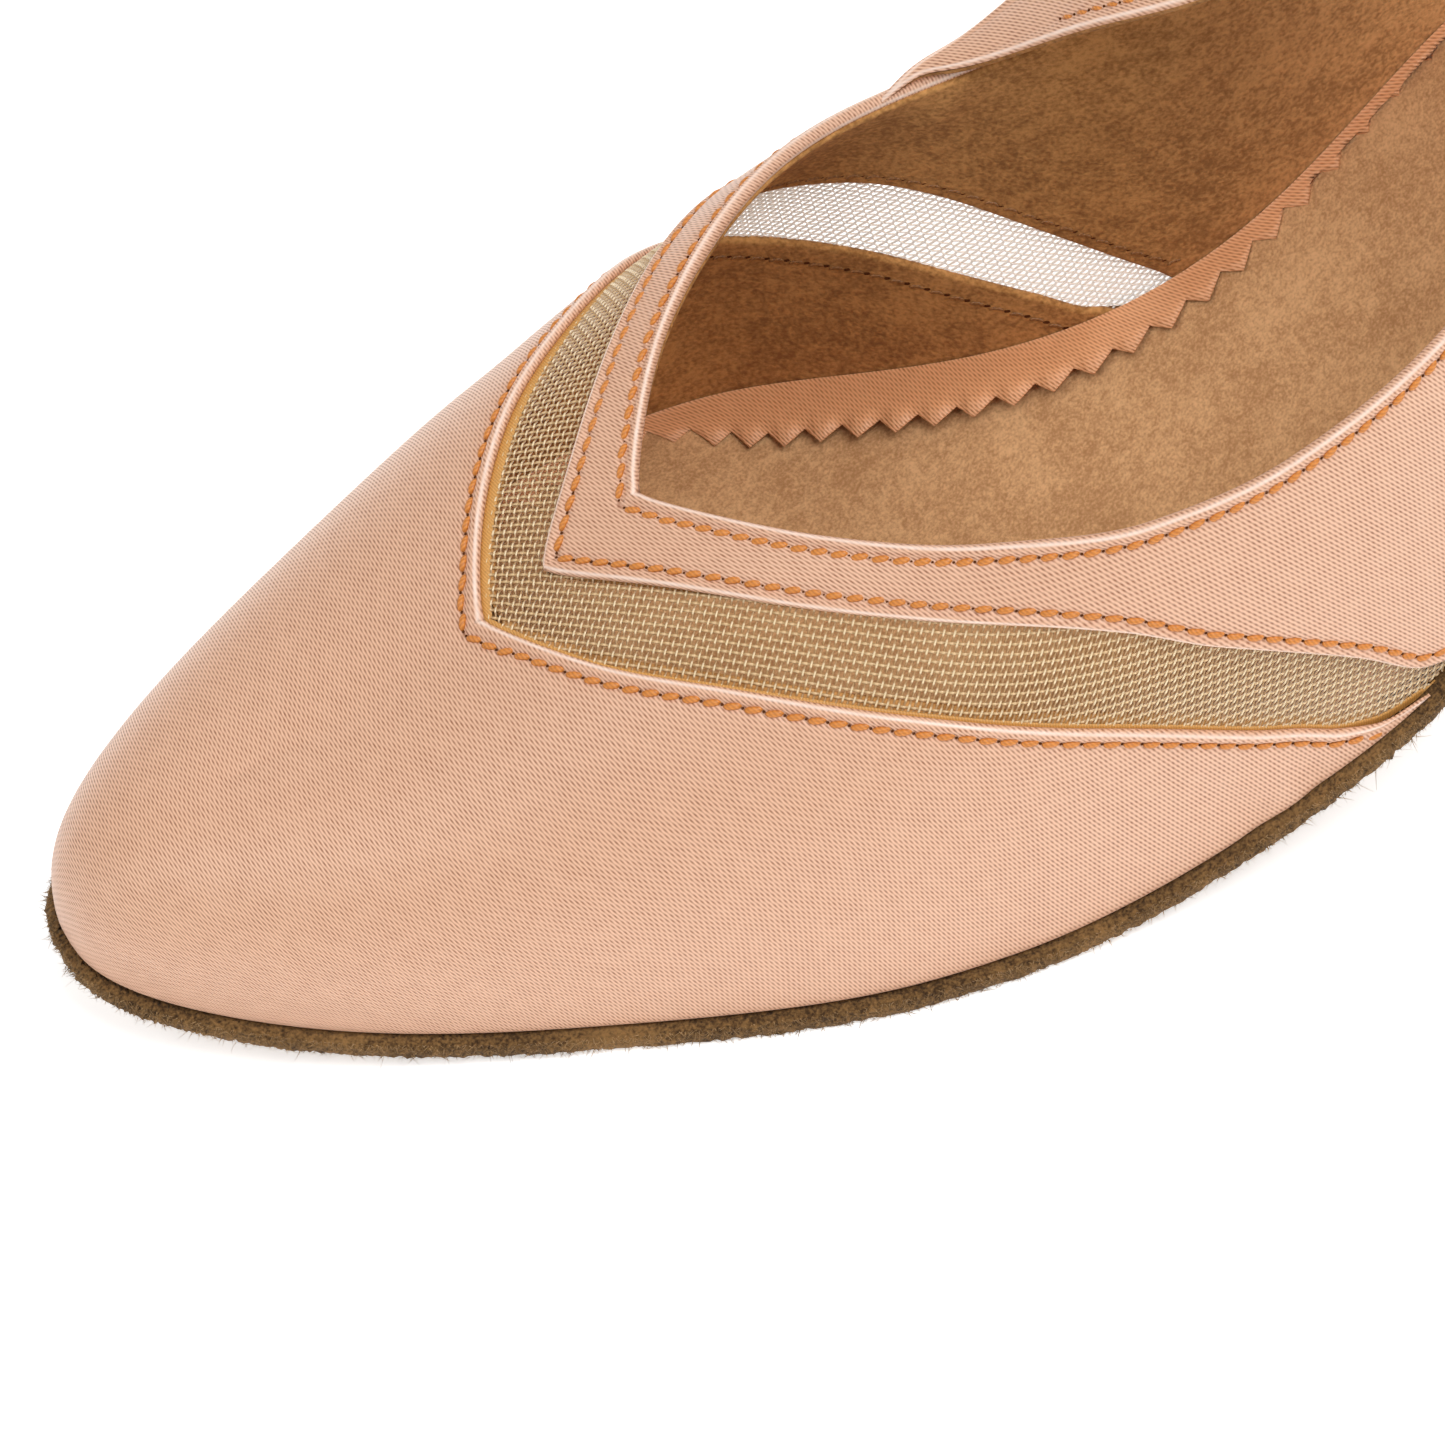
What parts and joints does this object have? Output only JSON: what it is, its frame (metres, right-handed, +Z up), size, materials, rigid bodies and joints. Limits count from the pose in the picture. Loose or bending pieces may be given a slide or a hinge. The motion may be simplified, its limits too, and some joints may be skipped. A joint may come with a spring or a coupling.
{
  "type": "closed ladies' dance shoe",
  "caption": "Heeled closed dance shoe with pointed toe, see-through V set into the vamp, low topline, slim instep strap, flared covered heel and thin soft sole.",
  "frame": {"origin": "centre of the shoe's footprint box, on the floor", "axes": "+X from heel to toe along the shoe's length, +Y to the shoe's left, its lateral side, +Z up"},
  "size_m": [0.2446, 0.08, 0.115],
  "materials": {
    "satin": "peach satin with fine diagonal twill and a soft sheen",
    "mesh": "see-through golden tan net",
    "thread": "golden orange sewing thread",
    "lining": "tan brown soft suede lining",
    "sock_lining": "mottled tan suede sock",
    "suede": "dark brown raw suede with loose fibres"
  },
  "bodies": {
    "root": {"upper": "satin", "instep_strap": "satin", "insole": "sock_lining", "outsole": "suede", "heel": "satin", "heel_top_piece": "suede"}
  },
  "joints": []
}
